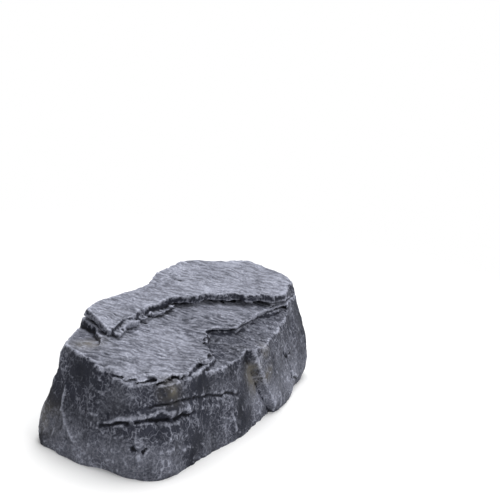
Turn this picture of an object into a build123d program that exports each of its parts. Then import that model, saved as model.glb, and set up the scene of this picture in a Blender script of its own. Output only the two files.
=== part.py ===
"""Hide a key rock: a hollow cast stone that keeps a key behind a lid sliding in its flat base.

The stone stands on its base, with Z up. X runs from the closed end of the lid channel (-X) to the end
where the lid draws out (+X), and Y from the straighter front (-Y) to the wavy back (+Y). The origin is
the middle of the stone on the surface that it rests on. All sizes are in millimetres.
"""

from build123d import *
from math import cos, radians, sin
import os

# The stone's outer size.
rock_length = 149.0  # closed end to exit end
rock_width = 76.0  # front to back
rock_height = 48.5  # base to the highest ledge

# How the side wall leaves the base outline: out to a belly, then in to the crown.
belly_height = 9.0
belly_outset = 1.2
crown_inset_x = 4.5
crown_inset_y = 6.0
crown_height_share = 1.05  # of the stone's height

# The base outline, anticlockwise from the closed end, in shares of half the length and half the width.
BASE_OUTLINE = [
    (-0.993, 0.08), (-0.945, 0.40), (-0.915, 0.59), (-0.81, 0.70), (-0.71, 0.79), (-0.57, 0.77),
    (-0.41, 0.81), (-0.26, 0.88), (-0.16, 0.955), (0.06, 0.915), (0.20, 0.90), (0.34, 0.96),
    (0.47, 0.945), (0.56, 0.875), (0.69, 0.83), (0.82, 0.76), (0.92, 0.62), (0.98, 0.36),
    (0.998, 0.00), (0.985, -0.32), (0.93, -0.52), (0.85, -0.75), (0.74, -0.84), (0.60, -0.87),
    (0.46, -0.955), (0.30, -0.98), (0.05, -0.95), (-0.22, -0.93), (-0.44, -0.89), (-0.66, -0.84),
    (-0.83, -0.78), (-0.93, -0.68), (-0.98, -0.45), (-0.967, -0.18),
]

# Broken faces that trim the wall: compass angle of the face, lean from upright in degrees, and how far
# its foot stands outside the base outline.
WALL_FACES = {
    "closed_end_back_corner": (138, 16.5, 6.2),
    "closed_end_back": (165, 8.5, 0.5),
    "closed_end_front": (193, 6.5, 0.4),
    "closed_end_front_corner": (230, 15.0, 0.4),
    "front_left": (264, 8.0, 1.0),
    "front_right": (279, 17.0, 1.0),
    "exit_end_front_corner": (306, 20.0, 8.0),
    "exit_end": (0, 8.5, 1.8),
    "exit_end_back_corner": (54, 18.0, 1.0),
    "back_right": (80, 14.0, 0.8),
    "back_left": (108, 12.0, 0.6),
}

# Split ledges of the top. Each has its drop below the highest point at the stone's middle, its rise per
# millimetre along X and Y, and its plan corners in shares of half the length and half the width.
MAIN_LEDGE = {"drop": 9.2, "rise": (0.017, 0.151)}
BACK_LEDGE = {
    "drop": 5.7,
    "rise": (0.031, 0.165),
    "plan": [
        (-0.15, 0.33), (-0.05, 0.25), (0.16, 0.04), (0.40, -0.24), (0.59, -0.62), (0.68, -0.67),
        (1.30, -1.30), (1.30, 1.50), (0.32, 1.50), (0.32, 0.74), (0.00, 0.56),
    ],
}
MIDDLE_LEDGE = {
    "drop": 6.15,
    "rise": (0.020, 0.20),
    "plan": [
        (-0.67, 0.21), (-0.46, 0.28), (-0.23, 0.26), (-0.09, 0.21), (0.40, 0.30), (0.40, 1.50),
        (-0.60, 1.50), (-0.57, 0.60),
    ],
}
LOW_LEDGE = {
    "drop": 10.4,
    "rise": (0.0, 0.02),
    "plan": [(-0.89, 0.02), (-0.69, 0.30), (-0.55, 0.58), (-0.50, 1.50), (-1.30, 1.50), (-1.30, 0.0)],
}
BROKEN_CORNER = {
    "drop": 11.5,
    "rise": (0.02, 0.19),
    "plan": [
        (-0.76, -0.86), (-0.62, -0.74), (-0.50, -0.69), (-0.32, -0.64), (-0.18, -0.42), (-0.06, -0.34),
        (0.08, -0.52), (0.22, -0.50), (0.40, -0.47), (0.64, -0.60), (0.85, -1.50), (-0.76, -1.50),
    ],
}
SPLINTER = {
    "drop": 7.9,
    "rise": (0.020, 0.175),
    "plan": [
        (-0.63, 0.13), (-0.47, 0.21), (-0.27, 0.19), (-0.12, 0.14), (0.02, 0.09), (0.10, 0.60),
        (-0.55, 0.80),
    ],
}
BACK_FLAKE = {
    "drop": 5.35,
    "rise": (0.031, 0.13),
    "plan": [
        (0.26, 0.06), (0.36, -0.08), (0.50, -0.27), (0.63, -0.50), (0.75, -0.66), (1.30, -1.00),
        (1.30, 1.50), (0.62, 1.50), (0.40, 0.50),
    ],
}
FRONT_RIM = {
    "drop": 10.5,
    "rise": (0.017, 0.151),
    "plan": [
        (-0.97, 0.00), (-0.935, -0.21), (-0.893, -0.37), (-0.765, -0.57), (-0.60, -0.72), (-0.60, -1.50),
        (-1.30, -1.50), (-1.30, 0.05),
    ],
}
BACK_SHOULDER = (90, 35.0, 16.0)  # the slope behind the middle ledge, given as a wall face is

# The crack that undercuts the back ledge, the cleft in the front wall, and the crack round the near corner
# under which the wall is set back.
ledge_crack_height = 1.6
ledge_crack_depth = 4.0
ledge_crack_angle = -32.0  # degrees from straight back that the crack runs in at
cleft_depth = 4.0
cleft_flank = 2.2  # along the wall from the crease to the edge of the block that stands proud
cleft_fade = 18.0  # along the wall from the crease back to the face on its other side
cleft_head = (-0.05, -0.82, 0.60)  # shares of half the length, half the width and the height
cleft_foot = (0.17, -1.00, 0.03)
cleft_facing = 270.0  # compass angle that the wall faces there
corner_crack_depth = 2.4
corner_crack_lip = 0.8  # up the wall from the crease to the edge that overhangs it
corner_crack_fade = 7.0  # down the wall from the crease to where the set-back face comes forward again
corner_crack_start = (-0.96, -0.48, 0.45)
corner_crack_end = (-0.76, -0.83, 0.48)
corner_crack_facing = 227.0
notch_overrun = 0.1  # how far a cleft or crack runs on past its two ends, as a share of its length

# The lid channel, cut up into the base and open at the exit end.
closed_end_margin = 13.0  # base face left at the closed end
front_margin = 13.0  # base face left along the front
back_margin = 15.5  # base face left along the back
exit_rim = 11.5  # low rim at the exit end that the lid's tongue covers
lip_thickness = 4.75
groove_height = 3.5
groove_undercut = 3.5

# The key compartment above the channel.
ledge_width = 2.5  # the step that the lid's rails slide under
roof_thickness = 3.5  # stone left over the compartment where the top is lowest
compartment_draft = 4.0  # degrees
compartment_corner = 7.0
channel_corner = 4.0

# The lid.
sliding_clearance = 0.3
tongue_setback = 0.5  # how far the tongue stays inside the stone's end
back_cut_length = 10.0  # the tongue's cut corner towards the back
back_cut_width = 11.0
front_cut_length = 8.5  # the tongue's cut corner towards the front
front_cut_width = 7.0
recess_chord = 32.0  # finger recess, a crescent with its straight side towards the tongue
recess_reach = 7.0
recess_depth = 2.8

# Sizes that follow from the ones above.
half_length = rock_length / 2
half_width = rock_width / 2
ledge_height = lip_thickness + groove_height
channel_start = -half_length + closed_end_margin
channel_front = -half_width + front_margin
channel_back = half_width - back_margin
channel_middle = (channel_back + channel_front) / 2
rail_end = half_length - exit_rim
crown_height = rock_height * crown_height_share
clear_of_stone = rock_length  # a distance that ends outside the stone, whichever way it is taken


def plan_point(share):
    """A point of the plan from its shares of half the length and half the width."""
    return (share[0] * half_length, share[1] * half_width)


def plan_prism(plan, low, high):
    """An upright prism on a polygon given in shares."""
    corners = [plan_point(share) for share in plan]
    face = make_face(Polyline(*corners, close=True))
    return extrude(Pos(0, 0, low) * face, high - low)


def plan_box(low_x, high_x, low_y, high_y, low_z, high_z):
    """A box between two corners."""
    size = (high_x - low_x, high_y - low_y, high_z - low_z)
    middle = ((high_x + low_x) / 2, (high_y + low_y) / 2, (high_z + low_z) / 2)
    return Pos(*middle) * Box(*size)


def ledge_level(ledge, x, y):
    """Height of a ledge's sloping top at a place in the plan."""
    return rock_height - ledge["drop"] + ledge["rise"][0] * x + ledge["rise"][1] * y


def ledge_plane(ledge, lift=0.0):
    """The plane of a ledge's top, lifted by a given height."""
    origin = (0, 0, ledge_level(ledge, 0, 0) + lift)
    return Plane(origin=origin, z_dir=(-ledge["rise"][0], -ledge["rise"][1], 1))


def wall_section(grow_x, grow_y, level):
    """The base outline as a smooth closed face, grown by a distance each way, at a level."""
    stretch_x = (half_length + grow_x) / half_length
    stretch_y = (half_width + grow_y) / half_width
    points = [plan_point((x * stretch_x, y * stretch_y)) for x, y in BASE_OUTLINE]
    return Pos(0, 0, level) * make_face(Spline(*points, periodic=True))


def wall_face_plane(angle, lean, foot_outset):
    """A broken face of the wall, set by the farthest point of the base outline in its direction."""
    across, along = cos(radians(angle)), sin(radians(angle))
    corners = [plan_point(share) for share in BASE_OUTLINE]
    reach = max(x * across + y * along for x, y in corners) + foot_outset
    outward = (across * cos(radians(lean)), along * cos(radians(lean)), sin(radians(lean)))
    return Plane(origin=(across * reach, along * reach, 0), z_dir=outward)


def wall_form():
    """The stone before its top is split: a belly and a crown lofted on the base outline, then trimmed."""
    base = wall_section(0, 0, 0)
    belly = wall_section(belly_outset, belly_outset, belly_height)
    crown = wall_section(-crown_inset_x, -crown_inset_y, crown_height)
    form = loft([base, belly, crown])
    for angle, lean, foot_outset in WALL_FACES.values():
        form = split(form, bisect_by=wall_face_plane(angle, lean, foot_outset), keep=Keep.BOTTOM)
    return form


def ledge_slab(ledge):
    """The upright prism under a ledge, with the ledge's sloping top."""
    prism = plan_prism(ledge["plan"], 0, clear_of_stone)
    return split(prism, bisect_by=ledge_plane(ledge), keep=Keep.BOTTOM)


def ledge_waste(ledge):
    """What is broken away above a ledge that lies lower than its surroundings."""
    prism = plan_prism(ledge["plan"], 0, clear_of_stone)
    return split(prism, bisect_by=ledge_plane(ledge), keep=Keep.TOP)


def ledge_crack():
    """The thin gap under the back ledge's front edge, parallel to the main ledge below it."""
    slab = plan_prism(BACK_LEDGE["plan"], 0, clear_of_stone)
    inward = Vector(0, ledge_crack_depth).rotate(Axis.Z, ledge_crack_angle)
    front_strip = slab - slab.translate(inward)
    above = split(front_strip, bisect_by=ledge_plane(MAIN_LEDGE), keep=Keep.TOP)
    return split(above, bisect_by=ledge_plane(MAIN_LEDGE, ledge_crack_height), keep=Keep.BOTTOM)


def wall_place(share):
    """A place on the wall from its shares of half the length, half the width and the height."""
    return Vector(share[0] * half_length, share[1] * half_width, share[2] * rock_height)


def wall_notch(start, end, facing, depth, near_side, far_side):
    """A V cut along a crease between two places of the wall, with a flank reaching out to each side."""
    run = end - start
    overrun = notch_overrun * run
    outward = Vector(cos(radians(facing)), sin(radians(facing)), 0)
    section = Plane(origin=start - overrun, x_dir=outward.cross(run), z_dir=run)
    widest = max(near_side, far_side)
    notch = Polyline(
        (-near_side, 0),
        (0, -depth),
        (far_side, 0),
        (far_side, widest),
        (-near_side, widest),
        close=True,
    )
    return extrude(section * make_face(notch), (run + 2 * overrun).length)


def front_cleft():
    """The cleft down the front wall: a long fade on one side of its crease, a short flank on the other."""
    head, foot = wall_place(cleft_head), wall_place(cleft_foot)
    return wall_notch(head, foot, cleft_facing, cleft_depth, cleft_fade, cleft_flank)


def corner_crack():
    """The crack round the near corner, with the wall set back under it."""
    start, end = wall_place(corner_crack_start), wall_place(corner_crack_end)
    return wall_notch(
        start, end, corner_crack_facing, corner_crack_depth, corner_crack_fade, corner_crack_lip
    )


def compartment_top():
    """Level of the compartment's roof, under the lowest part of the top above it."""
    left = channel_start + ledge_width
    front = channel_front + ledge_width
    levels = [
        ledge_level(ledge, x, front) for ledge in (MAIN_LEDGE, BROKEN_CORNER) for x in (left, rail_end)
    ]
    return min(levels) - roof_thickness


def channel_cut():
    """The lid channel: an opening through the lips, and the wider groove above them."""
    opening = plan_box(
        channel_start, clear_of_stone, channel_front, channel_back, -lip_thickness, ledge_height
    )
    groove = plan_box(
        channel_start,
        clear_of_stone,
        channel_front - groove_undercut,
        channel_back + groove_undercut,
        lip_thickness,
        ledge_height,
    )
    return round_closed_end(opening, channel_corner) + round_closed_end(groove, channel_corner)


def round_closed_end(block, radius):
    """Rounds the two upright corners of a block at the closed end."""
    upright = block.edges().filter_by(Axis.Z).sort_by(Axis.X)[:2]
    return fillet(upright, radius)


def compartment_cut():
    """The key compartment, with drafted walls and rounded corners."""
    depth = compartment_top() - ledge_height
    low_x, high_x = channel_start + ledge_width, rail_end
    low_y, high_y = channel_front + ledge_width, channel_back - ledge_width
    mouth = Rectangle(high_x - low_x, high_y - low_y)
    mouth = fillet(mouth.vertices(), compartment_corner)
    place = Pos((low_x + high_x) / 2, (low_y + high_y) / 2, ledge_height)
    hollow = extrude(place * mouth, depth, taper=compartment_draft)
    throat = extrude(place * mouth, -groove_height / 2)
    return hollow + throat


def make_rock_body():
    """The hollow stone: a trimmed wall split into ledges, hollowed from below, then cracked."""
    wall = wall_form()
    body = split(wall, bisect_by=ledge_plane(MAIN_LEDGE), keep=Keep.BOTTOM)
    body = body - ledge_waste(LOW_LEDGE) - ledge_waste(FRONT_RIM)
    body = body + (wall & ledge_slab(SPLINTER)) + (wall & ledge_slab(MIDDLE_LEDGE))
    body = split(body, bisect_by=wall_face_plane(*BACK_SHOULDER), keep=Keep.BOTTOM)
    body = body + (wall & ledge_slab(BACK_LEDGE)) + (wall & ledge_slab(BACK_FLAKE))
    body = body - ledge_waste(BROKEN_CORNER)
    body = body - (channel_cut() + compartment_cut())
    return body - ledge_crack() - front_cleft() - corner_crack()


def tongue_plan():
    """The lid's outline within the lips, with the two corners of its tongue cut off."""
    front = channel_front + sliding_clearance
    back = channel_back - sliding_clearance
    start = channel_start + sliding_clearance
    tip = half_length - tongue_setback
    corners = [
        (start, front),
        (tip - front_cut_length, front),
        (tip, front + front_cut_width),
        (tip, back - back_cut_width),
        (tip - back_cut_length, back),
        (start, back),
    ]
    return make_face(Polyline(*corners, close=True))


def finger_recess():
    """A crescent whose floor slopes down from its arc to its straight side."""
    radius = (recess_chord**2 / 4 + recess_reach**2) / (2 * recess_reach)
    disc = Pos(rail_end + radius - recess_reach, channel_middle) * Circle(radius)
    keep = Pos(rail_end - recess_reach, channel_middle) * Rectangle(2 * recess_reach, 2 * recess_chord)
    crescent = extrude(disc & keep, recess_depth * 2)
    floor = Plane(
        origin=(rail_end - recess_reach, channel_middle, sliding_clearance),
        z_dir=(-recess_depth, 0, recess_reach),
    )
    return split(crescent, bisect_by=floor, keep=Keep.BOTTOM)


def make_sliding_lid():
    """The lid: a plate that fills the lips, with rails that run in the grooves, and a finger recess."""
    top = ledge_height - sliding_clearance
    plate = extrude(Pos(0, 0, sliding_clearance) * tongue_plan(), top - sliding_clearance)
    plate = round_closed_end(plate, channel_corner)
    rails = plan_box(
        channel_start + sliding_clearance,
        rail_end,
        channel_front - groove_undercut + sliding_clearance,
        channel_back + groove_undercut - sliding_clearance,
        lip_thickness + sliding_clearance,
        top,
    )
    rails = round_closed_end(rails, channel_corner)
    return plate + rails - finger_recess()


os.makedirs("parts", exist_ok=True)
export_step(make_rock_body(), "parts/rock_body.step")
export_step(make_sliding_lid(), "parts/sliding_lid.step")
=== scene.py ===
"""Looks of a hide a key rock: a hollow cast stone with split ledges and a lid that slides in its base.

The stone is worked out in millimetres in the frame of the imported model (X towards the end where the lid
draws out, -Y towards the straighter front, Z up) and brought to metres when it becomes a mesh. It is the
zero level of one field of three coordinates, because its undercut ledges would cross a line of a grid of two
parameters more than once.
"""

from math import radians

import bmesh
import bpy
import numpy as np
from mathutils import Matrix, Vector


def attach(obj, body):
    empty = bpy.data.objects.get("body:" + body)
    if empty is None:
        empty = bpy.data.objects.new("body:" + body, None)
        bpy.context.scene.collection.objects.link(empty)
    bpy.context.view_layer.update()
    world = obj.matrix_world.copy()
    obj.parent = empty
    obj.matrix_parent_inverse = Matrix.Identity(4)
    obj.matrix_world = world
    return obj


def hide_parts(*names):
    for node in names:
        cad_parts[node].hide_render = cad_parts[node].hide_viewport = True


MM = 0.001

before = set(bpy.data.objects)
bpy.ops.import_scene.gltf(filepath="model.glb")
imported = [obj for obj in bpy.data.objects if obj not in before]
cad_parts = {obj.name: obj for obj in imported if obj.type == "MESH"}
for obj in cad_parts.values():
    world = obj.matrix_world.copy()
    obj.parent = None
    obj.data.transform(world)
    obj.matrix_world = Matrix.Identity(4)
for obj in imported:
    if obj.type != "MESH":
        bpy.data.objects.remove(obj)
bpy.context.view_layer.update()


# ---------------------------------------------------------------------------------------------------
# The stone's forms, in millimetres. Plan corners are shares of half the length and half the width.

HALF_LENGTH = 74.5
HALF_WIDTH = 38.0
HEIGHT = 48.5

BASE_OUTLINE = [
    (-0.993, 0.08), (-0.945, 0.40), (-0.915, 0.59), (-0.81, 0.70), (-0.71, 0.79), (-0.57, 0.77),
    (-0.41, 0.81), (-0.26, 0.88), (-0.16, 0.955), (0.06, 0.915), (0.20, 0.90), (0.34, 0.96),
    (0.47, 0.945), (0.56, 0.875), (0.69, 0.83), (0.82, 0.76), (0.92, 0.62), (0.98, 0.36),
    (0.998, 0.00), (0.985, -0.32), (0.93, -0.52), (0.85, -0.75), (0.74, -0.84), (0.60, -0.87),
    (0.46, -0.955), (0.30, -0.98), (0.05, -0.95), (-0.22, -0.93), (-0.44, -0.89), (-0.66, -0.84),
    (-0.83, -0.78), (-0.93, -0.68), (-0.98, -0.45), (-0.967, -0.18),
]

# How far the wall stands out from the base outline at a few heights.
WALL_HEIGHTS = (-5.0, 0.0, 4.5, 9.0, 20.0, 51.0)
WALL_OUTSETS = (0.0, 0.0, 0.8, 1.2, -0.3, -5.2)

# Broken faces of the wall: compass angle, lean from upright in degrees, outset of the foot.
WALL_FACES = [
    (138, 16.5, 6.2), (165, 8.5, 0.5), (193, 6.5, 0.4), (230, 15.0, 0.4), (264, 8.0, 1.0),
    (279, 17.0, 1.0), (306, 20.0, 8.0), (0, 8.5, 1.8), (54, 18.0, 1.0), (80, 14.0, 0.8), (108, 12.0, 0.6),
]
# The shoulder behind the middle ledge, cut in the same way, and the hump it keeps: height, middle, half length.
BACK_SHOULDER = (90, 35.0, 17.6)
SHOULDER_HUMP = (3.6, -31.0, 12.0)

# Ledges of the top: drop below the highest point at the middle, rise along X and Y, plan corners.
MAIN_LEDGE = (9.2, (0.017, 0.151), None)
BACK_LEDGE = (5.7, (0.031, 0.165), [
    (-0.15, 0.33), (-0.05, 0.25), (0.16, 0.04), (0.40, -0.24), (0.59, -0.62), (0.68, -0.67),
    (1.30, -1.30), (1.30, 1.50), (0.32, 1.50), (0.32, 0.74), (0.00, 0.56),
])
MIDDLE_LEDGE = (6.15, (0.020, 0.20), [
    (-0.67, 0.21), (-0.46, 0.28), (-0.23, 0.26), (-0.09, 0.21), (0.40, 0.30), (0.40, 1.50),
    (-0.60, 1.50), (-0.57, 0.60),
])
LOW_LEDGE = (10.0, (0.0, 0.02), [
    (-0.89, 0.02), (-0.69, 0.30), (-0.55, 0.58), (-0.50, 1.50), (-1.30, 1.50), (-1.30, 0.0),
])
BROKEN_CORNER = (11.5, (0.02, 0.19), [
    (-0.76, -0.86), (-0.62, -0.74), (-0.50, -0.69), (-0.32, -0.64), (-0.18, -0.42), (-0.06, -0.34),
    (0.08, -0.52), (0.22, -0.50), (0.40, -0.47), (0.64, -0.60), (0.85, -1.50), (-0.76, -1.50),
])

# Thin plates split between the ledges: one before the middle ledge, one on the back ledge, and the rim
# where the main plate ends short of the front corner.
SPLINTER = (7.9, (0.020, 0.175), [
    (-0.63, 0.13), (-0.47, 0.21), (-0.27, 0.19), (-0.12, 0.14), (0.02, 0.09), (0.10, 0.60), (-0.55, 0.80),
])
BACK_FLAKE = (5.35, (0.031, 0.13), [
    (0.26, 0.06), (0.36, -0.08), (0.50, -0.27), (0.63, -0.50), (0.75, -0.66), (1.30, -1.00),
    (1.30, 1.50), (0.62, 1.50), (0.40, 0.50),
])
FRONT_RIM = (10.5, (0.017, 0.151), [
    (-0.97, 0.00), (-0.935, -0.21), (-0.893, -0.37), (-0.765, -0.57), (-0.60, -0.72),
    (-0.60, -1.50), (-1.30, -1.50), (-1.30, 0.05),
])

# Gaps under the ledges' edges: place above the main ledge's top, half height, depth, seed of their noise.
RIM_GAP = (-1.5, 0.35, 1.8, 93)
BACK_GAP = (0.5, 0.8, 4.5, 91)
SPLINTER_GAP = (0.2, 0.3, 1.6, 95)
BROKEN_GAP = (-1.6, 0.5, 2.2, 97)

# The cleft in the front wall: head and foot of its crease, and its profile across.
CLEFT_HEAD = (-3.7, -31.2, 29.1)
CLEFT_FOOT = (12.7, -38.0, 1.5)
CLEFT_ACROSS = (-18.0, 0.0, 2.2)
CLEFT_DEPTHS = (0.0, 4.0, 0.0)

# The lid channel and the key compartment.
CHANNEL_START, CHANNEL_FRONT, CHANNEL_BACK = -61.5, -25.0, 22.5
LIP_THICKNESS, GROOVE_UNDERCUT, LEDGE_HEIGHT, LEDGE_WIDTH = 4.75, 3.5, 8.25, 2.5
RAIL_END = 63.0
COMPARTMENT_TOP = 28.04
CHANNEL_CORNER, COMPARTMENT_CORNER = 4.0, 7.0
COMPARTMENT_DRAFT = 4.0  # degrees
COMPARTMENT_RINGS = (6.75, 8.25, 18.0)  # heights of the plan rings below the roof's rounded edge
ROOF_EDGE = ((1.6, 0.1), (0.5, 0.5), (0.0, 1.6))  # the rounded edge: below the roof, further in
PAST_THE_END, BELOW_GROUND = 90.0, -5.0  # where the bodies that cut the channel end, clear of the stone

# Lines on the walls: points along each, width, swell (negative for a crack), and how far the face below it
# is set back.
WALL_LINES = [
    ([(-72.4, -3.9, 15.9), (-70.6, -9.3, 17.8), (-69.6, -15.1, 19.9), (-65.5, -20, 20.3),
      (-59.5, -23.9, 20.2), (-49.3, -28, 19), (-44, -29.5, 18)], 0.7, -1.5, 0.6),
    ([(-66.5, -19, 20.6), (-62.2, -21, 20.3), (-56.3, -25, 20.4), (-48, -28, 19.2)], 1.3, -1.6, 0),
    ([(-71.5, -6.1, 18), (-71.8, -13.4, 21.6), (-68.6, -20, 23.4), (-62, -24.8, 23.7),
      (-47.2, -27.4, 21.6), (-36.1, -29.5, 18.3), (-22.8, -32.6, 14.3)], 1.5, 0.65, 0),
    ([(-70.1, -18.6, 25.4), (-64.9, -22, 26.2), (-58.8, -25.8, 26.6), (-48.1, -27.5, 24.7),
      (-36.5, -29.2, 22.5), (-24.6, -31.2, 20), (-6.4, -31.9, 14.4)], 0.5, -0.7, 0),
    ([(-67.2, 13.1, 27.9), (-68.2, 13.1, 22.6), (-69, 13.6, 15.8), (-71.2, 11.1, 13),
      (-72.4, 7.9, 8.8), (-73.1, 2.3, 5.8)], 1.1, 0.9, 0),
    ([(-22.1, -32.8, 12.8), (-20.6, -33.9, 7.7), (-20, -34.9, 3.2)], 1.2, 0.9, 0),
    ([(-71.6, -17.1, 11.8), (-70.7, -21, 11.3), (-70, -22.9, 10.2)], 1.9, -1.4, 0),
    ([(-68.4, -24.1, 9.9), (-61.5, -29, 10.1), (-50.1, -30.4, 7.4), (-37.9, -32, 5)], 1.6, 0.6, 0),
    ([(30, -36, 26), (38, -36, 18), (41, -37, 8), (52, -34, 2)], 0.8, -0.9, 0.4),
    ([(70, -8, 30), (72, 2, 20), (73, 12, 9)], 0.9, -1.2, 0.6),
    ([(-40, 34, 12), (-10, 36, 20), (22, 34, 17), (48, 31, 24)], 0.9, -1.3, 0.9),
    ([(-62, 27, 30), (-50, 30, 18), (-46, 31, 6)], 1.2, 0.9, 0),
    ([(8, 33, 32), (14, 35, 18), (10, 36, 5)], 1.2, 0.9, 0),
]

# A bulge low on the exit end's front corner: its middle and how far it swells.
BULGE_PLACE, BULGE_HEIGHT = (64.0, -30.0, 20.0), 1.7

# Where a little ochre shows through the brushed coat, and where the front wall carries more of the pale
# paint: the middle of each place and its radius.
OCHRE_PLACES = [
    ((0, -30, 21), 4.0), ((2, -31, 15), 4.0), ((9, -35, 19), 3.0), ((-57, 12, 38), 5.0),
    ((-58, -24, 30), 4.0), ((7, -33, 29), 3.0), ((-71, 22, 12), 6.0), ((55, 28, 18), 6.0),
    ((70, 6, 26), 5.0), ((-20, 33, 26), 6.0),
]
PALE_PLACES = [((-10, -31, 23), 8.0), ((0, -32, 12), 6.0), ((-38, -31, 4), 6.0), ((14, -35, 8), 6.0)]

# The grid that the stone's field is taken on: lowest and highest corner, and spacing.
GRID_LOW, GRID_HIGH = (-80.0, -43.0, -4.0), (80.0, 43.0, 53.0)
GRID_SPACING = 0.66
SKIN_BOTTOM = -3.0  # the skin goes on below the ground, where it is cut off
SHARP_ANGLE = 48  # degrees between faces from which an edge looks sharp


# ---------------------------------------------------------------------------------------------------
# Number work: noise, distances and soft joins, all on whole arrays.

def eased(t):
    """The quintic 6t^5 - 15t^4 + 10t^3, flat at both ends."""
    return t * t * t * (t * (t * 6 - 15) + 10)


def step_up(value, low, high):
    """0 below low, 1 above high, eased between them."""
    return eased(np.clip((value - low) / (high - low), 0, 1))


def lattice(across, along, up, seed):
    """A random number from -1 to 1 at each whole-number place, mixed from the bits of its three counts."""
    mixed = (across * 73856093) ^ (along * 19349663) ^ (up * 83492791) ^ (seed * 974634777)
    mixed = mixed & 0xFFFFFFFF
    mixed = ((mixed ^ (mixed >> 13)) * 1274126177) & 0xFFFFFFFF
    mixed = ((mixed ^ (mixed >> 16)) * 668265263) & 0xFFFFFFFF
    return (mixed ^ (mixed >> 15)) / 2147483648.0 - 1.0


def noise(x, y, z, seed):
    """Smooth noise from -1 to 1: lattice values blended over each unit cell by the eased fraction."""
    x, y, z = np.broadcast_arrays(x, y, z)
    cell = [np.floor(a).astype(np.int64) for a in (x, y, z)]
    part = [eased(a - c) for a, c in zip((x, y, z), cell)]
    total = np.zeros(x.shape)
    for dx in (0, 1):
        for dy in (0, 1):
            for dz in (0, 1):
                weight = (part[0] if dx else 1 - part[0]) * (part[1] if dy else 1 - part[1])
                weight = weight * (part[2] if dz else 1 - part[2])
                total += weight * lattice(cell[0] + dx, cell[1] + dy, cell[2] + dz, seed)
    return total


def layered(x, y, z, seed, layers=3):
    """Noise added to itself at twice the fineness and half the strength, turned a little each time."""
    total, strength, scale = 0.0, 1.0, 1.0
    for layer in range(layers):
        total = total + strength * noise(x * scale, y * scale, z * scale, seed + layer)
        x, y, z = 0.86 * x + 0.5 * y, 0.86 * y - 0.47 * x + 0.17 * z, z - 0.17 * y + 0.05 * x
        strength, scale = strength * 0.5, scale * 2.0
    return total


def ridged(x, y, z, seed, layers=3):
    """Sharp crests: one minus twice the size of each noise layer, weaker as it gets finer."""
    total, strength, scale = 0.0, 1.0, 1.0
    for layer in range(layers):
        total = total + strength * (1 - 2 * np.abs(noise(x * scale, y * scale, z * scale, seed + layer)))
        x, y, z = 0.8 * x - 0.6 * z, y + 0.2 * x, 0.8 * z + 0.6 * x
        strength, scale = strength * 0.5, scale * 2.0
    return total


def soft_least(a, b, radius):
    """The lesser of two fields, with the crease between them rounded over a radius."""
    share = np.clip(0.5 + 0.5 * (b - a) / radius, 0, 1)
    return b + (a - b) * share - radius * share * (1 - share)


def soft_most(a, b, radius):
    """The greater of two fields, with the edge between them rounded over a radius."""
    return -soft_least(-a, -b, radius)


def outline_distance(x, y, corners):
    """Distance to a polygon's nearest side, negative inside, which is where a ray along X crosses the sides
    an odd number of times."""
    nearest = np.full(x.shape, 1e9)
    inside = np.zeros(x.shape, bool)
    for (x0, y0), (x1, y1) in zip(corners, corners[1:] + corners[:1]):
        along_x, along_y = x1 - x0, y1 - y0
        t = ((x - x0) * along_x + (y - y0) * along_y) / (along_x ** 2 + along_y ** 2)
        t = np.clip(t, 0, 1)
        nearest = np.minimum(nearest, np.hypot(x - x0 - t * along_x, y - y0 - t * along_y))
        crossing = (y0 > y) != (y1 > y)
        slope = along_x / along_y if along_y else 0.0
        inside ^= crossing & (x < x0 + (y - y0) * slope)
    return np.where(inside, -nearest, nearest)


def closed_curve(corners, per_side):
    """A smooth closed line through the corners: for each side the cubic that leaves a corner along the line
    between its two neighbours."""
    p = np.array(corners, float)
    before, after, later = np.roll(p, 1, 0), np.roll(p, -1, 0), np.roll(p, -2, 0)
    t = np.arange(per_side)[None, :, None] / per_side
    p, before, after, later = (a[:, None, :] for a in (p, before, after, later))
    line = 0.5 * (2 * p + (after - before) * t + (2 * before - 5 * p + 4 * after - later) * t ** 2
                  + (3 * p - before - 3 * after + later) * t ** 3)
    return [tuple(q) for q in line.reshape(-1, 2)]


def path_distance(points, normals, path):
    """Distance along the skin from points to a broken line drawn near it, where up to 5 mm of depth doesn't
    count, and how far along the line the nearest place is, from 0 to 1."""
    nearest = np.full(len(points), 1e9)
    share = np.zeros(len(points))
    for count, (a, b) in enumerate(zip(path, path[1:])):
        a, b = np.array(a, float), np.array(b, float)
        t = np.clip((points - a) @ (b - a) / ((b - a) @ (b - a)), 0, 1)
        away = points - a - t[:, None] * (b - a)
        depth = (away * normals).sum(1)
        off = np.maximum(np.abs(depth) - 5.0, 0)
        d = np.hypot(np.linalg.norm(away - depth[:, None] * normals, axis=1), off)
        share = np.where(d < nearest, (count + t) / (len(path) - 1), share)
        nearest = np.minimum(nearest, d)
    return nearest, share


# ---------------------------------------------------------------------------------------------------
# The stone as the zero level of a field: negative inside, positive outside.

def in_mm(plan):
    """Plan corners in millimetres."""
    return [(x * HALF_LENGTH, y * HALF_WIDTH) for x, y in plan]


def torn(x, y, seed):
    """Plan places moved to and fro by noise, so that a straight edge becomes a torn one."""
    shift_x = 1.1 * noise(x / 9, y / 9, 0.5, seed) + 0.6 * noise(x / 3.2, y / 3.2, 0.5, seed + 1)
    shift_y = 1.1 * noise(x / 9, y / 9, 7.5, seed) + 0.6 * noise(x / 3.2, y / 3.2, 7.5, seed + 1)
    return x + shift_x, y + shift_y


def flaked(x, y, seed):
    """Thin flakes split off a ledge: noise cut into even steps, with a short slope between them."""
    along, across = 0.44 * x - 0.9 * y, 0.9 * x + 0.44 * y
    value = 2.2 * layered(along / 30, across / 16, 0.3, seed, 3)
    whole = np.floor(value)
    return 0.5 * (whole + step_up(value - whole, 0.88, 1.0))


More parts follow.
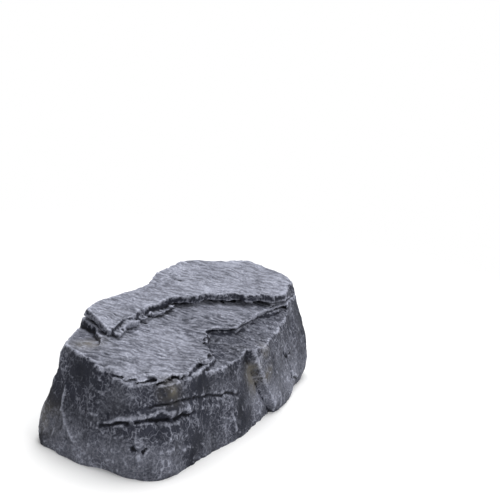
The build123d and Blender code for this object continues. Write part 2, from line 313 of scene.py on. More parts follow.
def ledge_plane(ledge, x, y):
    """Height of a ledge's plane: its height at the middle and its rise along X and Y."""
    drop, (rise_x, rise_y), _ = ledge
    return HEIGHT - drop + rise_x * x + rise_y * y


def ledge_top(ledge, x, y, seed):
    """Height of a ledge: its sloping plane and the flakes on it."""
    return ledge_plane(ledge, x, y) + flaked(x, y, seed)


def wall_field(x, y, z):
    """The wall: the base outline's distance less the outset at that height, trimmed by each broken face."""
    base = outline_distance(x, y, closed_curve(in_mm(BASE_OUTLINE), 5))
    field = base[:, :, None] - np.interp(z, WALL_HEIGHTS, WALL_OUTSETS)
    corners = np.array(in_mm(BASE_OUTLINE))
    for angle, lean, outset in WALL_FACES:
        field = soft_most(field, face_field(x, y, z, angle, lean, outset, corners), 0.7)
    return field


def face_field(x, y, z, angle, lean, outset, corners):
    """Distance beyond a leaning plane whose foot stands an outset beyond the outline's farthest corner."""
    across, along = np.cos(radians(angle)), np.sin(radians(angle))
    reach = (corners @ np.array([across, along])).max() + outset
    return (x * across + y * along - reach)[:, :, None] * np.cos(radians(lean)) + z * np.sin(radians(lean))


def cleft_field(x, y, z):
    """The front cleft: how far a place lies above the V of its profile, measured square to its crease."""
    head, foot = np.array(CLEFT_HEAD), np.array(CLEFT_FOOT)
    run = (foot - head) / np.linalg.norm(foot - head)
    side = np.cross((0, -1, 0), run)
    side /= np.linalg.norm(side)
    out = np.cross(run, side)
    away = [(x - head[0])[:, :, None], (y - head[1])[:, :, None], z - head[2]]
    along, across, above = (sum(a * n for a, n in zip(away, axis)) for axis in (run, side, out))
    length = np.linalg.norm(foot - head)
    strength = step_up(along, -7, 3) * (1 - step_up(along, length - 2, length + 8))
    depth = np.interp(across, CLEFT_ACROSS, CLEFT_DEPTHS) * strength
    return -above - depth


def stone_field(x, y, z):
    """The whole stone, put together as it broke: wall and main ledge, low corner and front rim, splinter and
    middle ledge, the shoulder behind them, back ledge and flake, the gaps under the edges, the broken front
    corner and the cleft."""
    wall = wall_field(x, y, z)
    corners = np.array(in_mm(BASE_OUTLINE))
    plan = {}
    for seed, (name, ledge) in enumerate({
        "back": BACK_LEDGE, "middle": MIDDLE_LEDGE, "low": LOW_LEDGE, "broken": BROKEN_CORNER,
        "splinter": SPLINTER, "flake": BACK_FLAKE, "rim": FRONT_RIM,
    }.items()):
        edge = outline_distance(*torn(x, y, 11 + 5 * seed), in_mm(ledge[2]))
        plan[name] = (edge[:, :, None], z - ledge_top(ledge, x, y, 60 + 7 * seed)[:, :, None])
    main_top = z - ledge_top(MAIN_LEDGE, x, y, 50)[:, :, None]
    body = soft_most(wall, main_top, 0.5)
    body = broken_away(body, *plan["low"], 0.5)
    body = undercut(body, -plan["rim"][0], main_top, RIM_GAP, x, y)
    body = broken_away(body, *plan["rim"], 0.3)
    body = built_up(body, *plan["splinter"], wall)
    body = built_up(body, *plan["middle"], wall)
    angle, lean, outset = BACK_SHOULDER
    hump_height, hump_middle, hump_reach = SHOULDER_HUMP
    hump = hump_height * np.exp(-((x - hump_middle) / hump_reach) ** 2)
    body = soft_most(body, face_field(x, y, z, angle, lean, outset + hump, corners), 1.0)
    body = built_up(body, *plan["back"], wall)
    body = built_up(body, *plan["flake"], wall)
    body = undercut(body, plan["back"][0], main_top, BACK_GAP, x, y)
    body = undercut(body, plan["splinter"][0], main_top, SPLINTER_GAP, x, y)
    body = undercut(body, -plan["broken"][0], main_top, BROKEN_GAP, x, y)
    body = broken_away(body, *plan["broken"], 0.3)
    return soft_most(body, -cleft_field(x, y, z), 0.4)


def built_up(body, edge, top, wall):
    """Adds a ledge: the prism inside its edge and under its top, kept within the wall."""
    return soft_least(body, soft_most(soft_most(edge, top, 0.4), wall, 0.6), 0.2)


def broken_away(body, edge, top, radius):
    """Takes away what stands inside an edge and over a top; the corner left between them has a radius."""
    return soft_most(body, -soft_most(edge, -top, radius), 0.45)


def undercut(body, edge, main_top, gap, x, y):
    """Takes away a thin gap that runs in under an edge; its height and depth wander."""
    above, half_height, depth, seed = gap
    height = half_height * (1 + 0.55 * noise(x / 8, y / 8, 3.1, seed))[:, :, None]
    reach = depth * (1 + 0.4 * noise(x / 7, y / 7, 3.7, seed + 1))[:, :, None]
    return soft_most(body, -np.maximum(np.abs(main_top - above) - height, -edge - reach), 0.2)


def join_corners(values):
    """Fills the air wherever two solid places of the grid meet only across the corner of a square."""
    values = values.copy()
    found = True
    while found:
        found = False
        for axis, other in ((0, 1), (1, 2), (2, 0)):
            turned = np.moveaxis(values, (axis, other), (0, 1))
            solid = turned < 0
            a, b, c, d = solid[:-1, :-1], solid[1:, :-1], solid[:-1, 1:], solid[1:, 1:]
            split = (a == d) & (b == c) & (a != b)
            found = found or split.any()
            for across, along in ((0, 0), (1, 0), (0, 1), (1, 1)):
                part = turned[across:across + split.shape[0], along:along + split.shape[1]]
                part[split & (part >= 0)] = -0.02
    return values


def level_surface(values, low, spacing):
    """The field's zero level as a closed skin of four-sided faces.

    Every grid line the level crosses gets one face, whose corners lie in the four cells round the line.
    A point is the mean of the crossings of the faces that meet there. Where four faces share an edge they
    are joined two by two round the same place in the air, so that the skin never touches itself.
    """
    crossings, rings, airs = [], [], []
    for axis, across, up in ((0, 1, 2), (1, 2, 0), (2, 0, 1)):
        size = values.shape[axis]
        near, far = np.take(values, range(size - 1), axis), np.take(values, range(1, size), axis)
        index = np.argwhere((near < 0) != (far < 0))
        near, far = near[tuple(index.T)], far[tuple(index.T)]
        crossing = index.astype(float)
        crossing[:, axis] += near / (near - far)
        ring = []
        for step_across, step_high in ((0, 0), (-1, 0), (-1, -1), (0, -1)):
            cell = index.copy()
            cell[:, across] += step_across
            cell[:, up] += step_high
            ring.append(np.ravel_multi_index(tuple(cell.T), values.shape))
        ring = np.stack(ring, 1)
        ring[near >= 0] = ring[near >= 0][:, ::-1]
        air = index.copy()
        air[:, axis] += near < 0
        crossings.append(crossing)
        rings.append(ring)
        airs.append(np.ravel_multi_index(tuple(air.T), values.shape))
    crossings, rings, airs = np.concatenate(crossings), np.concatenate(rings), np.concatenate(airs)
    other_end = np.roll(rings, -1, 1)
    edge = np.minimum(rings, other_end).astype(np.int64) * values.size + np.maximum(rings, other_end)
    _, edge, sharing = np.unique(edge.ravel(), return_inverse=True, return_counts=True)
    edge = edge.ravel()
    joint = edge * values.size + np.where(sharing[edge] > 2, np.repeat(airs, 4), 0)
    order = np.argsort(joint, kind="stable")
    one, other = order[0::2], order[1::2]
    after = np.arange(rings.size).reshape(-1, 4)[:, [1, 2, 3, 0]].ravel()
    left, right = np.concatenate([one, after[one]]), np.concatenate([after[other], other])
    label = np.arange(rings.size)
    changed = True
    while changed:
        least = np.minimum(label[left], label[right])
        joined = label.copy()
        np.minimum.at(joined, left, least)
        np.minimum.at(joined, right, least)
        changed = (joined != label).any()
        label = joined
    _, corner = np.unique(label, return_inverse=True)
    corner = corner.ravel()
    points = np.stack([np.bincount(corner, np.repeat(crossings[:, k], 4)) for k in range(3)], 1)
    points /= np.bincount(corner)[:, None]
    return points * spacing + np.array(low), corner.reshape(-1, 4)


def corner_normals(points, faces):
    """Unit normals at the corners: each face adds the cross product of its diagonals to its corners."""
    face_normal = np.cross(points[faces[:, 2]] - points[faces[:, 0]], points[faces[:, 3]] - points[faces[:, 1]])
    total = np.zeros_like(points)
    for corner in range(4):
        for axis in range(3):
            total[:, axis] += np.bincount(faces[:, corner], face_normal[:, axis], len(points))
    return total / np.maximum(np.linalg.norm(total, axis=1), 1e-9)[:, None]


def spread(values, faces, times):
    """Each corner's value becomes the mean of the values round the faces it is part of, a number of times."""
    links = [np.bincount(faces[:, c], minlength=len(values)) for c in range(4)]
    links = np.maximum(sum(links), 1)
    for _ in range(times):
        face_mean = sum(values[faces[:, c]] for c in range(4)) / 4
        columns = face_mean if face_mean.ndim > 1 else face_mean[:, None]
        summed = np.stack([
            sum(np.bincount(faces[:, c], columns[:, k], len(values)) for c in range(4))
            for k in range(columns.shape[1])
        ], 1) / links[:, None]
        values = summed if values.ndim > 1 else summed[:, 0]
    return values


def relief(points, normals):
    """How far the surface swells (or sinks, negative) along its normal: on the walls broad swells over 19 mm,
    chipped crests over 7.5 mm, fine ones over 2.5 mm and the lines of WALL_LINES; on the ledges a share of
    the swells and ripples along the split."""
    x, y, z = points.T
    flat = step_up(normals[:, 2], 0.72, 0.92)
    steep = 1 - flat
    broad = 0.75 * layered(x / 19, y / 19, z / 15, 101, 2)
    crests = 0.3 * ridged(x / 7.5, y / 7.5, z / 10, 111, 3)
    fine = 0.18 * ridged(x / 2.5, y / 2.5, z / 3.4, 131, 2)
    along, across = 0.44 * x - 0.9 * y, 0.9 * x + 0.44 * y
    bend = 0.5 * noise(x / 8, y / 8, 0.4, 161)
    ripples = 0.2 * ridged(along / 7.5 + bend, across / 2.5 + bend, z / 8, 141, 2)
    swell = steep * (broad + crests + fine - 0.15) + flat * (0.2 * broad + ripples)
    for path, width, height, setback in WALL_LINES:
        wander = np.stack([noise(x / 4, y / 4, z / 4, 151 + k) for k in range(3)], 1)
        distance, share = path_distance(points + 0.6 * wander, normals, path)
        ends = np.minimum(1, 6 * np.minimum(share, 1 - share) + 0.15)
        swell += height * ends * np.exp(-(distance / width) ** 2) * steep
        if setback:
            level = np.interp(share, np.linspace(0, 1, len(path)), [p[2] for p in path])
            below = (level - z) * (distance < 12)
            swell -= setback * ends * step_up(below, 0, 0.8) * (1 - step_up(distance, 1.5, 9)) * steep
    from_bulge = np.linalg.norm(points - np.array(BULGE_PLACE), axis=1)
    return swell + BULGE_HEIGHT * (1 - step_up(from_bulge, 4, 26)) * steep


def nearness(points, places):
    """Sum over the places of a bell curve of the distance to each: 1 at its middle, 1/e at its radius."""
    return sum(np.exp(-((points - np.array(place)) ** 2).sum(1) / radius ** 2) for place, radius in places)


# ---------------------------------------------------------------------------------------------------
# Materials. Every pattern lies on Object coordinates, in metres, so a noise scale of 1000 is 1 mm.

SMOOTH = {"interpolation_type": "SMOOTHSTEP"}


def tone(code):
    """Scene-linear colour from an sRGB hex code."""
    parts = [int(code[i:i + 2], 16) / 255 for i in (0, 2, 4)]
    return tuple(p / 12.92 if p <= 0.04045 else ((p + 0.055) / 1.055) ** 2.4 for p in parts) + (1.0,)


def put(tree, kind, links=None, stops=(), **settings):
    """Adds a node with its settings and fills its inputs.

    A socket is linked, a node stands for its first output in use, and any other value is set. The stops of
    a colour ramp, which starts with two, are (place, hex code).
    """
    node = tree.nodes.new(kind)
    for name, value in settings.items():
        setattr(node, name, value)
    for key, value in (links or {}).items():
        if isinstance(value, bpy.types.Node):
            value = next(socket for socket in value.outputs if socket.enabled)
        if isinstance(value, bpy.types.NodeSocket):
            tree.links.new(value, node.inputs[key])
        else:
            node.inputs[key].default_value = value
    for count, (place, code) in enumerate(stops):
        elements = node.color_ramp.elements
        stop = elements[count] if count < 2 else elements.new(place)
        stop.position, stop.color = place, tone(code)
    return node


def new_material(name):
    """A material with an empty node tree."""
    material = bpy.data.materials.new(name)
    material.use_nodes = True
    material.node_tree.nodes.clear()
    return material, material.node_tree


def crest_lines(tree, place, size, shift, width):
    """Thin winding lines where noise of a given size in metres passes its middle value: 1 on the line and 0
    where the noise is a width away from that value."""
    moved = put(tree, "ShaderNodeVectorMath", {0: place, 1: (shift, shift, 0.0)}, operation="ADD")
    value = put(tree, "ShaderNodeTexNoise", {
        "Vector": moved, "Scale": 1 / size, "Detail": 2.4, "Roughness": 0.5,
    })
    off = put(tree, "ShaderNodeMath", {0: value, 1: 0.5}, operation="SUBTRACT")
    off = put(tree, "ShaderNodeMath", {0: off}, operation="ABSOLUTE")
    return put(tree, "ShaderNodeMapRange", {
        "Value": off, "From Max": width, "To Min": 1.0, "To Max": 0.0,
    }, **SMOOTH)


def painted_stone():
    """Cast polyresin with a slate coat, dry-brushed pale blue-grey.

    To the eye it is a matt dark skin whose high spots and broken edges carry a dusty pale drag of paint,
    with a little ochre showing through. Faces that look up are painted paler, partly for the brush and partly
    as painted light from above, and the cracks are painted near-black as painted shade.
    """
    material, tree = new_material("cast_polyresin_dry_brushed_slate")
    place = put(tree, "ShaderNodeTexCoord").outputs["Object"]
    level = put(tree, "ShaderNodeSeparateXYZ", {"Vector": place}).outputs["Z"]
    # Values from the mesh: brushed edges, faces that look up (paler partly as painted light from above), ochre,
    # and hollows (darkened as painted shade).
    worn_and_lit, hollow_and_shade, upward_paint_and_light, ochre = (
        put(tree, "ShaderNodeAttribute", attribute_name=name).outputs["Fac"]
        for name in ("worn_and_lit", "hollow_and_shade", "upward_paint_and_light", "ochre")
    )
    # Casting grain about 1 mm across, patches of 10 mm, and a drift of tone over 30 mm.
    grain = put(tree, "ShaderNodeTexNoise", {
        "Vector": place, "Scale": 1100.0, "Detail": 5.0, "Roughness": 0.6,
    })
    patch = put(tree, "ShaderNodeTexNoise", {"Vector": place, "Scale": 95.0, "Detail": 4.0})
    drift = put(tree, "ShaderNodeTexNoise", {"Vector": place, "Scale": 32.0, "Detail": 3.0})

    # Walls: winding crests 5.5 and 3.8 mm apart, drawn out upright, over a net of cells 3 mm across. They
    # fade away in patches.
    upright = put(tree, "ShaderNodeMapping", {"Vector": place, "Scale": (1.0, 1.0, 0.75)})
    veins = put(tree, "ShaderNodeMath", {
        0: crest_lines(tree, upright, 0.0055, 0.0, 0.030),
        1: crest_lines(tree, upright, 0.0038, 0.31, 0.030),
    }, operation="MAXIMUM")
    stir = put(tree, "ShaderNodeTexNoise", {"Vector": place, "Scale": 300.0, "Detail": 2.0})
    stirred = put(tree, "ShaderNodeVectorMath", {
        0: stir.outputs["Color"], 1: (0.006, 0.006, 0.006), 2: upright,
    }, operation="MULTIPLY_ADD")
    cells = put(tree, "ShaderNodeTexVoronoi", {"Vector": stirred, "Scale": 330.0}, feature="DISTANCE_TO_EDGE")
    net = put(tree, "ShaderNodeMapRange", {
        "Value": cells, "From Max": 0.07, "To Min": 0.4, "To Max": 0.0,
    }, **SMOOTH)
    veins = put(tree, "ShaderNodeMath", {0: veins, 1: net}, operation="MAXIMUM")
    broken = put(tree, "ShaderNodeMapRange", {
        "Value": patch, "From Min": 0.4, "From Max": 0.62, "To Min": 0.1, "To Max": 1.0,
    }, **SMOOTH)
    veins = put(tree, "ShaderNodeMath", {0: veins, 1: broken}, operation="MULTIPLY")

    # Ledges: ripples 2.6 mm apart and streaks 1.6 mm wide that run along the split and wander a little.
    sway = put(tree, "ShaderNodeTexNoise", {"Vector": place, "Scale": 110.0, "Detail": 2.0})
    swayed = put(tree, "ShaderNodeVectorMath", {
        0: sway.outputs["Color"], 1: (0.006, 0.006, 0.006), 2: place,
    }, operation="MULTIPLY_ADD")
    split_way = put(tree, "ShaderNodeMapping", {
        "Vector": swayed, "Rotation": (0.0, 0.0, radians(-63.9)), "Scale": (2.7, 1.0, 2.0),
    }, vector_type="TEXTURE")
    ripples = crest_lines(tree, split_way, 0.0026, 0.17, 0.04)
    streak = put(tree, "ShaderNodeTexNoise", {"Vector": split_way, "Scale": 620.0, "Detail": 5.0})

    # Height of the bump: veins on the walls, streaks on the ledges, grain on both.
    raised = put(tree, "ShaderNodeMath", {0: streak, 1: 1.6}, operation="MULTIPLY")
    lines = put(tree, "ShaderNodeMix", {0: upward_paint_and_light, 2: veins, 3: raised})
    height = put(tree, "ShaderNodeMath", {0: grain, 1: 0.5}, operation="MULTIPLY")
    height = put(tree, "ShaderNodeMath", {0: lines, 1: 0.55, 2: height}, operation="MULTIPLY_ADD")
    bump = put(tree, "ShaderNodeBump", {"Height": height, "Strength": 0.75, "Distance": 0.0005})

    # Share of pale paint: edges, crests and ledges catch the brush, and faces that look up get more, partly as
    # painted light from above; hollows get less, partly as painted shade; and a low band by the ground gets a
    # little more.
    on_wall = put(tree, "ShaderNodeMath", {0: veins, 1: 0.42}, operation="MULTIPLY")
    on_ledge = put(tree, "ShaderNodeMapRange", {
        "Value": streak, "From Min": 0.36, "From Max": 0.64, "To Min": 0.2, "To Max": 0.6,
    }, **SMOOTH)
    on_ledge = put(tree, "ShaderNodeMath", {0: ripples, 1: 0.16, 2: on_ledge}, operation="MULTIPLY_ADD")
    # Faces that look up take the ledges' larger share of pale paint, partly as painted light from above.
    drag = put(tree, "ShaderNodeMix", {0: upward_paint_and_light, 2: on_wall, 3: on_ledge})
    drag = put(tree, "ShaderNodeMath", {0: worn_and_lit, 1: 0.55, 2: drag}, operation="MULTIPLY_ADD")
    for value, low, high, least, most in ((grain, 0.4, 0.7, -0.06, 0.1), (drift, 0.35, 0.7, -0.1, 0.2)):
        change = put(tree, "ShaderNodeMapRange", {
            "Value": value, "From Min": low, "From Max": high, "To Min": least, "To Max": most,
        }, **SMOOTH)
        drag = put(tree, "ShaderNodeMath", {0: drag, 1: change}, operation="ADD")
    low_band = put(tree, "ShaderNodeMapRange", {
        "Value": level, "From Min": 0.008, "From Max": 0.018, "To Min": 0.09, "To Max": -0.05,
    }, **SMOOTH)
    uneven = put(tree, "ShaderNodeMapRange", {
        "Value": patch, "From Min": 0.35, "From Max": 0.6, "To Min": 0.3, "To Max": 1.3,
    }, **SMOOTH)
    drag = put(tree, "ShaderNodeMath", {0: low_band, 1: uneven, 2: drag}, operation="MULTIPLY_ADD")
    # Painted shade: hollows lose most of the pale paint.
    drag = put(tree, "ShaderNodeMath", {
        0: hollow_and_shade, 1: -0.8, 2: drag,
    }, operation="MULTIPLY_ADD", use_clamp=True)

    # Colours: slate coat, pale drag, ochre stain, and the near-black painted shade of the cracks.
    coat = put(tree, "ShaderNodeValToRGB", {"Fac": patch}, [
        (0.3, "1B1D25"), (0.55, "282A34"), (0.75, "363843"),
    ])
    paint = put(tree, "ShaderNodeValToRGB", {"Fac": grain}, [(0.3, "8D909F"), (0.7, "B6B9C7")])
    colour = put(tree, "ShaderNodeMix", {0: drag, 6: coat, 7: paint}, data_type="RGBA")
    stain = put(tree, "ShaderNodeMath", {0: ochre, 1: 0.42}, operation="MULTIPLY")
    colour = put(tree, "ShaderNodeMix", {0: stain, 6: colour, 7: tone("7D7767")}, data_type="RGBA")
    # Painted shade: hollows turn near-black, darker than the slate coat.
    dark = put(tree, "ShaderNodeMapRange", {"Value": hollow_and_shade, "From Min": 0.25, "From Max": 0.95}, **SMOOTH)
    colour = put(tree, "ShaderNodeMix", {0: dark, 6: colour, 7: tone("121318")}, data_type="RGBA")
    rough = put(tree, "ShaderNodeMapRange", {
        "Value": grain, "From Min": 0.3, "From Max": 0.7, "To Min": 0.62, "To Max": 0.85,
    }, **SMOOTH)
    shader = put(tree, "ShaderNodeBsdfPrincipled", {
        "Base Color": colour, "Roughness": rough, "Normal": bump, "Specular IOR Level": 0.12,
    })
    put(tree, "ShaderNodeOutputMaterial", {"Surface": shader})
    return material


def flat_resin(name, dark, pale, grain_scale):
    """Bare cast resin: a mottled smooth grey, cloudy over 17 mm, with a casting grain of 1.4 to 2 mm."""
    material, tree = new_material(name)
    place = put(tree, "ShaderNodeTexCoord").outputs["Object"]
    cloud = put(tree, "ShaderNodeTexNoise", {"Vector": place, "Scale": 60.0, "Detail": 5.0})
    grain = put(tree, "ShaderNodeTexNoise", {"Vector": place, "Scale": grain_scale, "Detail": 4.0})
    fine = put(tree, "ShaderNodeMath", {0: grain, 1: 0.2}, operation="MULTIPLY")
    share = put(tree, "ShaderNodeMath", {0: cloud, 1: 0.8, 2: fine}, operation="MULTIPLY_ADD")
    rough = put(tree, "ShaderNodeMapRange", {
        "Value": grain, "From Min": 0.3, "From Max": 0.7, "To Min": 0.42, "To Max": 0.62,
    }, **SMOOTH)
    shader = put(tree, "ShaderNodeBsdfPrincipled", {
        "Base Color": put(tree, "ShaderNodeValToRGB", {"Fac": share}, [(0.35, dark), (0.65, pale)]),
        "Roughness": rough,
        "Normal": put(tree, "ShaderNodeBump", {"Height": share, "Strength": 0.35, "Distance": 0.0005}),
    })
    put(tree, "ShaderNodeOutputMaterial", {"Surface": shader})
    return material


def sanded_resin():
    """Cast resin sanded on one face: warm grey with long scratches and dark patches the belt missed."""
    material, tree = new_material("cast_polyresin_belt_sanded")
    place = put(tree, "ShaderNodeTexCoord").outputs["Object"]
    height = put(tree, "ShaderNodeSeparateXYZ", {"Vector": place}).outputs["Z"]
    # Scratches 2 mm wide and 40 mm long, drawn coarser than the grit so that they show.
    along = put(tree, "ShaderNodeMapping", {"Vector": place, "Scale": (26.0, 480.0, 480.0)})
    scratch = put(tree, "ShaderNodeTexNoise", {"Vector": along, "Scale": 1.0, "Detail": 5.0})
    cloud = put(tree, "ShaderNodeTexNoise", {
        "Vector": place, "Scale": 38.0, "Detail": 5.0, "Distortion": 0.6,
    })
    marks = put(tree, "ShaderNodeMath", {0: scratch, 1: 0.4}, operation="MULTIPLY")
    share = put(tree, "ShaderNodeMath", {0: cloud, 1: 0.6, 2: marks}, operation="MULTIPLY_ADD")
    sanded = put(tree, "ShaderNodeValToRGB", {"Fac": share}, [
        (0.38, "454750"), (0.48, "6E6D6C"), (0.62, "827F79"),
    ])
    raw = put(tree, "ShaderNodeValToRGB", {"Fac": cloud}, [(0.35, "2A2B30"), (0.65, "404147")])
    # The belt reached the outer face alone, the lowest half millimetre of the lid.
    face = put(tree, "ShaderNodeMapRange", {
        "Value": height, "From Min": 0.0003, "From Max": 0.0008, "To Min": 1.0, "To Max": 0.0,
    }, **SMOOTH)
    shader = put(tree, "ShaderNodeBsdfPrincipled", {
        "Base Color": put(tree, "ShaderNodeMix", {0: face, 6: raw, 7: sanded}, data_type="RGBA"),
        "Roughness": 0.55,
        "Normal": put(tree, "ShaderNodeBump", {"Height": scratch, "Strength": 0.25, "Distance": 0.0003}),
    })
    put(tree, "ShaderNodeOutputMaterial", {"Surface": shader})
    return material


# ---------------------------------------------------------------------------------------------------
# Meshes.

def add_object(name, mesh):
    """A mesh as an object of the scene, at the origin."""
    piece = bpy.data.objects.new(name, mesh)
    bpy.context.scene.collection.objects.link(piece)
    return piece


def rounded_plan(low_x, high_x, low_y, high_y, radius, inset, round_far=True):
    """Corners of a rectangle pulled in by an inset and rounded by quarter circles of eight steps. Its far end
    can be left square and where it is."""
    radius = max(radius - inset, 0.5)
    low_x, low_y, high_y = low_x + inset, low_y + inset, high_y - inset
    high_x = high_x - (inset if round_far else 0)
    turn = np.linspace(0, np.pi / 2, 9)
    out = []
    for cx, cy, start, rounded in (
        (high_x - radius, high_y - radius, 0, round_far), (low_x + radius, high_y - radius, 90, True),
        (low_x + radius, low_y + radius, 180, True), (high_x - radius, low_y + radius, 270, round_far),
    ):
        angle = turn + radians(start)
        if rounded:
            out.append(np.stack([cx + radius * np.cos(angle), cy + radius * np.sin(angle)], 1))
        else:
            sign = np.sign(np.sin(np.mean(angle)))
            out.append(np.array([[high_x, cy + sign * radius]]))
    return np.concatenate(out)


def stacked_solid(name, rings, heights, material):
    """A closed solid of stacked plan rings with the same corner count: a wall between each pair, flat ends."""
    n = len(rings[0])
    points = np.concatenate([np.column_stack([r, np.full(n, h)]) for r, h in zip(rings, heights)]) * MM
    here = np.arange(n)
    ahead = (here + 1) % n
    walls = [np.stack([here, ahead, ahead + n, here + n], 1) + n * level for level in range(len(rings) - 1)]
    ends = [list(range(n - 1, -1, -1)), list(range(n * (len(rings) - 1), n * len(rings)))]
    faces = np.concatenate(walls).tolist() + ends
    mesh = bpy.data.meshes.new(name)
    mesh.from_pydata(points.tolist(), [], faces)
    mesh.materials.append(material)
    return add_object(name, mesh)


def carve(piece, cutter):
    """Takes the cutter out of the piece for good, and brings the cutter's finish onto the cut."""
    change = piece.modifiers.new("carve", "BOOLEAN")
    change.operation, change.object, change.solver = "DIFFERENCE", cutter, "MANIFOLD"
    change.material_mode = "TRANSFER"
    bpy.context.view_layer.update()
    shaped = bpy.data.meshes.new_from_object(piece.evaluated_get(bpy.context.evaluated_depsgraph_get()))
    piece.modifiers.clear()
    piece.data = shaped
    bpy.data.objects.remove(cutter)


def stone_mesh():
    """The stone's outer skin: the field's zero level, swollen by the relief, with values for brushed edges, for
    faces that look up (partly painted light) and for hollows (painted shade).
    """
    x, y, z = (np.arange(low, high, GRID_SPACING) for low, high in zip(GRID_LOW, GRID_HIGH))
    plan_x, plan_y = np.meshgrid(x, y, indexing="ij")
    field = stone_field(plan_x, plan_y, z[None, None, :])
    field = np.maximum(field, SKIN_BOTTOM - z)
    points, faces = level_surface(join_corners(field), GRID_LOW, GRID_SPACING)
    normals = corner_normals(points, faces)
    soft = spread(normals, faces, 3)
    soft /= np.linalg.norm(soft, axis=1)[:, None]
    points = points + soft * relief(points, soft)[:, None]
    points = 0.85 * points + 0.15 * spread(points, faces, 1)
    normals = corner_normals(points, faces)
    # What stands above the mean of its neighbours is an edge, which the brush caught, and what lies below
    # it is a hollow, over 2 mm and over 9 mm, whose darker colour is painted shade.
    proud_fine = ((points - spread(points, faces, 3)) * normals).sum(1)
    proud_wide = ((points - spread(points, faces, 14)) * normals).sum(1)
    ochre, pale = nearness(points, OCHRE_PLACES), nearness(points, PALE_PLACES)
    # How far a place lies below the main ledge's plane: faces sunk below it get less pale paint, as painted
    # shade in the broken corner's recess.
    sunken = ledge_plane(MAIN_LEDGE, points[:, 0], points[:, 1]) - points[:, 2]
    values = {
        "ochre": np.clip(ochre * (0.75 + 0.6 * layered(*(points / 3).T, 171, 2)), 0, 1),
        # Brushed edges and pale places, plus faces that look up on ledges above the main one, paler partly as
        # painted light from above.
        "worn_and_lit": np.clip(step_up(proud_fine, 0.07, 0.2) + 0.3 * step_up(proud_wide, 0.3, 0.9) + 0.4 * pale
                        + 0.4 * step_up(normals[:, 2], 0.6, 0.95) * step_up(-sunken, 1.5, 4.0), 0, 1),
        # Painted shade in cracks and hollows.
        "hollow_and_shade": np.clip(step_up(-proud_fine, 0.06, 0.32) + 0.45 * step_up(-proud_wide, 0.4, 1.4), 0, 1),
        # Faces that look up get more pale paint, partly as painted light from above, and less where sunk below
        # the main ledge, as painted shade.
        "upward_paint_and_light": step_up(normals[:, 2], 0.55, 0.95) * (1 - 0.5 * step_up(sunken, 0.8, 2.4)),
    }
    mesh = bpy.data.meshes.new("stone_skin")
    mesh.vertices.add(len(points))
    mesh.vertices.foreach_set("co", (points * MM).ravel())
    mesh.loops.add(faces.size)
    mesh.loops.foreach_set("vertex_index", faces.ravel())
    mesh.polygons.add(len(faces))
    mesh.polygons.foreach_set("loop_start", np.arange(0, faces.size, 4))
    mesh.update(calc_edges=True)
    for name, value in values.items():
        mesh.attributes.new(name, "FLOAT", "POINT").data.foreach_set("value", value)
    return mesh


def cut_flat(mesh):
    """Cuts the skin off at the ground and closes it with one flat face of the skin's second material."""
    work = bmesh.new()
    work.from_mesh(mesh)
    every = work.verts[:] + work.edges[:] + work.faces[:]
    bmesh.ops.bisect_plane(
        work, geom=every, dist=1e-7, plane_co=(0, 0, 0), plane_no=(0, 0, -1), clear_outer=True,
    )
    rim = [edge for edge in work.edges if edge.is_boundary]
    for face in bmesh.ops.holes_fill(work, edges=rim, sides=0)["faces"]:
        face.material_index = 1
    work.to_mesh(mesh)
    work.free()


raw_resin = flat_resin("cast_polyresin_raw_dark", "24252A", "3A3C42", 500.0)
skin = stone_mesh()
for finish in (painted_stone(), flat_resin("cast_polyresin_base_face", "62656E", "7C8089", 700.0), raw_resin):
    skin.materials.append(finish)
cut_flat(skin)
stone = add_object("split_stone", skin)

# The lid's channel: the opening through the lips, then the grooves behind them.
for name, undercut_by, bottom in (("opening", 0.0, BELOW_GROUND), ("groove", GROOVE_UNDERCUT, LIP_THICKNESS)):
    plan = rounded_plan(CHANNEL_START, PAST_THE_END, CHANNEL_FRONT - undercut_by, CHANNEL_BACK + undercut_by,
                        CHANNEL_CORNER, 0, False)
    carve(stone, stacked_solid(name, [plan, plan], [bottom, LEDGE_HEIGHT], raw_resin))

# The key compartment: drafted walls, and a rounded edge round its roof.
below_roof, further_in = np.array(ROOF_EDGE).T
depths = np.concatenate([COMPARTMENT_RINGS, COMPARTMENT_TOP - below_roof])
insets = np.tan(radians(COMPARTMENT_DRAFT)) * np.maximum(depths - LEDGE_HEIGHT, 0)
insets[len(COMPARTMENT_RINGS):] += further_in
rooms = [rounded_plan(CHANNEL_START + LEDGE_WIDTH, RAIL_END, CHANNEL_FRONT + LEDGE_WIDTH,
                      CHANNEL_BACK - LEDGE_WIDTH, COMPARTMENT_CORNER, inset) for inset in insets]
carve(stone, stacked_solid("compartment", rooms, depths, raw_resin))

stone.data.polygons.foreach_set("use_smooth", np.ones(len(stone.data.polygons), bool))
stone.data.set_sharp_from_angle(angle=radians(SHARP_ANGLE))
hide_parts("rock_body")
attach(stone, "rock")

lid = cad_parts["sliding_lid"]
lid.data.materials.clear()
lid.data.materials.append(sanded_resin())


# ---------------------------------------------------------------------------------------------------
# Stage, lamps and camera.

# The floor: how far it reaches, where it fades out, and the middle and reach of the stone's opening on it.
FLOOR_REACH = 0.4
FADE_START, FADE_END = 0.16, 0.34
OPENING_MIDDLE, OPENING_REACH = (0.007, -0.001), (0.068, 0.026)


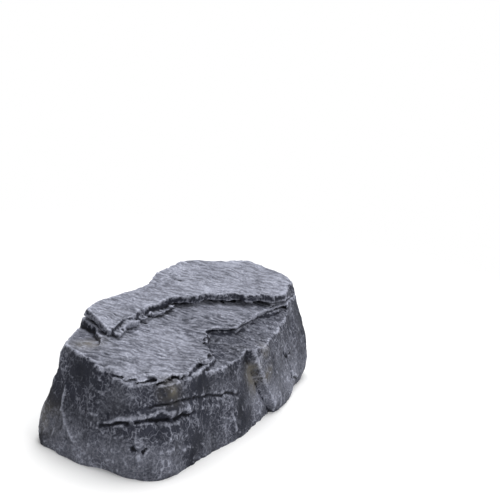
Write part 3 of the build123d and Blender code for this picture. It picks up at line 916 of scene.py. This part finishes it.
def stage_material():
    """A plain pale sweep that fades out round the stone and keeps its soft shadow."""
    material, tree = new_material("pale_sweep")
    place = put(tree, "ShaderNodeTexCoord").outputs["Object"]
    light = put(tree, "ShaderNodeLightPath").outputs
    # Seen from beneath and far away it is clear.
    away = put(tree, "ShaderNodeVectorMath", {0: place}, operation="LENGTH")
    faded = put(tree, "ShaderNodeMapRange", {
        "Value": away, "From Min": FADE_START, "From Max": FADE_END,
    }, **SMOOTH)
    beneath = put(tree, "ShaderNodeNewGeometry").outputs["Backfacing"]
    share = put(tree, "ShaderNodeMath", {0: beneath, 1: faded}, operation="MAXIMUM")
    # Light that starts within 2 mm of it passes, so that the face the stone rests on can be seen.
    close = put(tree, "ShaderNodeMath", {0: light["Ray Length"], 1: 0.002}, operation="LESS_THAN")
    share = put(tree, "ShaderNodeMath", {0: share, 1: close}, operation="MAXIMUM")
    # Under the opening all light passes except the camera's view, so that the key compartment isn't black.
    spot = put(tree, "ShaderNodeSeparateXYZ", {"Vector": place}).outputs
    in_length, in_width = (
        put(tree, "ShaderNodeMath", {0: along, 1: middle, 2: reach}, operation="COMPARE")
        for along, middle, reach in zip(spot, OPENING_MIDDLE, OPENING_REACH)
    )
    opening = put(tree, "ShaderNodeMath", {0: in_length, 1: in_width}, operation="MULTIPLY")
    opening = put(tree, "ShaderNodeMath", {
        0: opening, 1: light["Is Camera Ray"],
    }, operation="SUBTRACT", use_clamp=True)
    share = put(tree, "ShaderNodeMath", {0: share, 1: opening}, operation="MAXIMUM")
    matt = put(tree, "ShaderNodeBsdfPrincipled", {"Base Color": tone("F4F4F4"), "Roughness": 0.9})
    clear = put(tree, "ShaderNodeBsdfTransparent")
    mix = put(tree, "ShaderNodeMixShader", {0: share, 1: matt, 2: clear})
    put(tree, "ShaderNodeOutputMaterial", {"Surface": mix})
    return material


floor_mesh = bpy.data.meshes.new("floor")
floor_mesh.from_pydata([
    (x * FLOOR_REACH, y * FLOOR_REACH, 0) for x, y in ((-1, -1), (1, -1), (1, 1), (-1, 1))
], [], [(0, 1, 2, 3)])
floor_mesh.materials.append(stage_material())
floor = add_object("floor", floor_mesh)

# The world lights the stone at a plain level, and is white to the camera and in reflections.
world = bpy.data.worlds.new("pale_room")
bpy.context.scene.world = world
world.use_nodes = True
room = world.node_tree
room.nodes.clear()
path = put(room, "ShaderNodeLightPath").outputs
seen = put(room, "ShaderNodeMath", {0: path["Is Camera Ray"], 1: path["Is Glossy Ray"]}, operation="MAXIMUM")
seen = put(room, "ShaderNodeMath", {0: seen, 1: path["Is Transmission Ray"]}, operation="MAXIMUM")
lighting, white = (
    put(room, "ShaderNodeBackground", {"Color": tone("FFFFFF"), "Strength": strength})
    for strength in (0.5, 1.0)
)
shown = put(room, "ShaderNodeMixShader", {0: seen, 1: lighting, 2: white})
put(room, "ShaderNodeOutputWorld", {"Surface": shown})


def add_lamp(name, place, size, power):
    """A square soft lamp that faces the stone."""
    lamp = bpy.data.lights.new(name, "AREA")
    lamp.size, lamp.energy = size, power
    thing = bpy.data.objects.new(name, lamp)
    thing.location = place
    thing.rotation_euler = (Vector((0, 0, 0.02)) - Vector(place)).to_track_quat("-Z", "Y").to_euler()
    bpy.context.scene.collection.objects.link(thing)


add_lamp("overhead", (0.25, 0.1, 0.9), 0.7, 8.0)
add_lamp("front_fill", (-0.1, -0.95, 0.5), 0.8, 4.5)

# The camera stands where the photograph's lower view was taken from, as matched on the solids, and is rolled
# as it was.
CAMERA_LENS, CAMERA_ROLL = 74.46, 6.65  # millimetres on a 36 mm sensor, degrees
camera_data = bpy.data.cameras.new("camera")
camera_data.lens = CAMERA_LENS
camera_data.sensor_width = 36.0
camera = bpy.data.objects.new("camera", camera_data)
camera_place = Vector((-0.36525, -0.17778, 0.17519))
aim = Vector((0.2498, 0.0817, 0.0))
turn = (aim - camera_place).to_track_quat("-Z", "Y").to_matrix().to_4x4()
camera.matrix_world = Matrix.Translation(camera_place) @ turn @ Matrix.Rotation(radians(CAMERA_ROLL), 4, "Z")
bpy.context.scene.collection.objects.link(camera)
bpy.context.scene.camera = camera
bpy.context.scene.view_settings.view_transform = "Standard"
